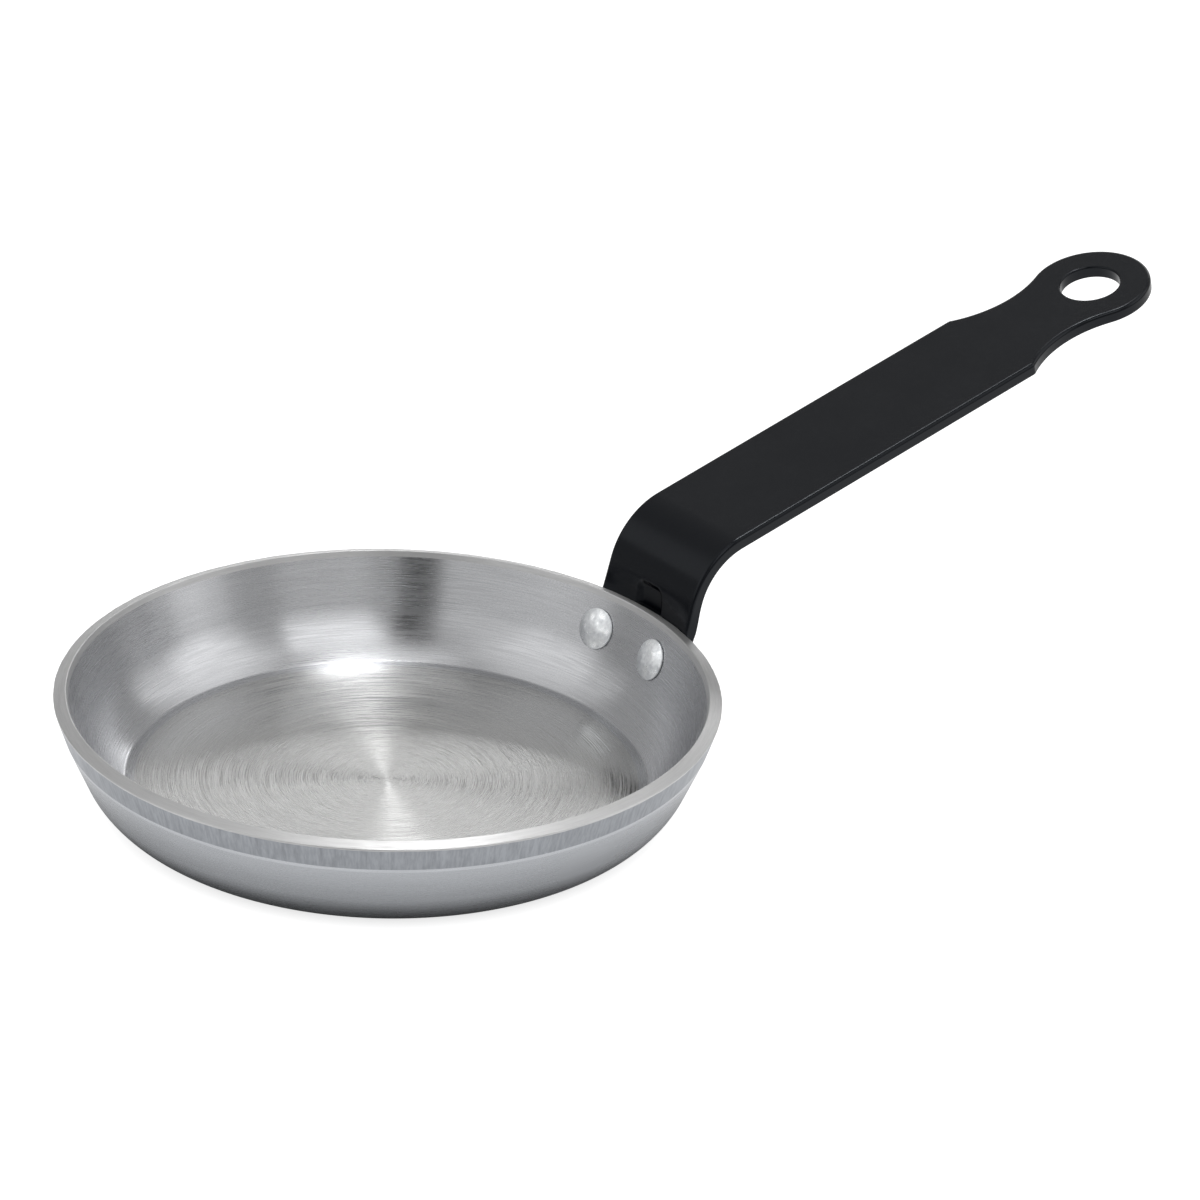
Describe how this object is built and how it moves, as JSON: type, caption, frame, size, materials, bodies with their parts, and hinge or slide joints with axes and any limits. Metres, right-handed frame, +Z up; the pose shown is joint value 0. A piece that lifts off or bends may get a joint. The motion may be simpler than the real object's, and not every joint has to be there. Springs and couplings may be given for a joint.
{
  "type": "omelette pan",
  "caption": "Small round steel omelette pan with flared sides, a flat base and a coated strip handle that is riveted on and ends in a hanging hole.",
  "frame": {"origin": "centre of the underside of the pan, in the plane of the table", "axes": "+X from the centre of the pan along the handle, +Z up, +Y to the left seen from the grip"},
  "size_m": [0.2379, 0.12, 0.0605],
  "materials": {
    "pan_steel": "bare steel, turned in fine rings inside and ground outside",
    "handle_coating": "black semi-gloss baked coating on a steel strip",
    "rivet_steel": "bright hammered steel"
  },
  "bodies": {
    "root": {"pan_body": "pan_steel", "handle": "handle_coating", "rivet_left": "rivet_steel", "rivet_right": "rivet_steel"}
  },
  "joints": []
}
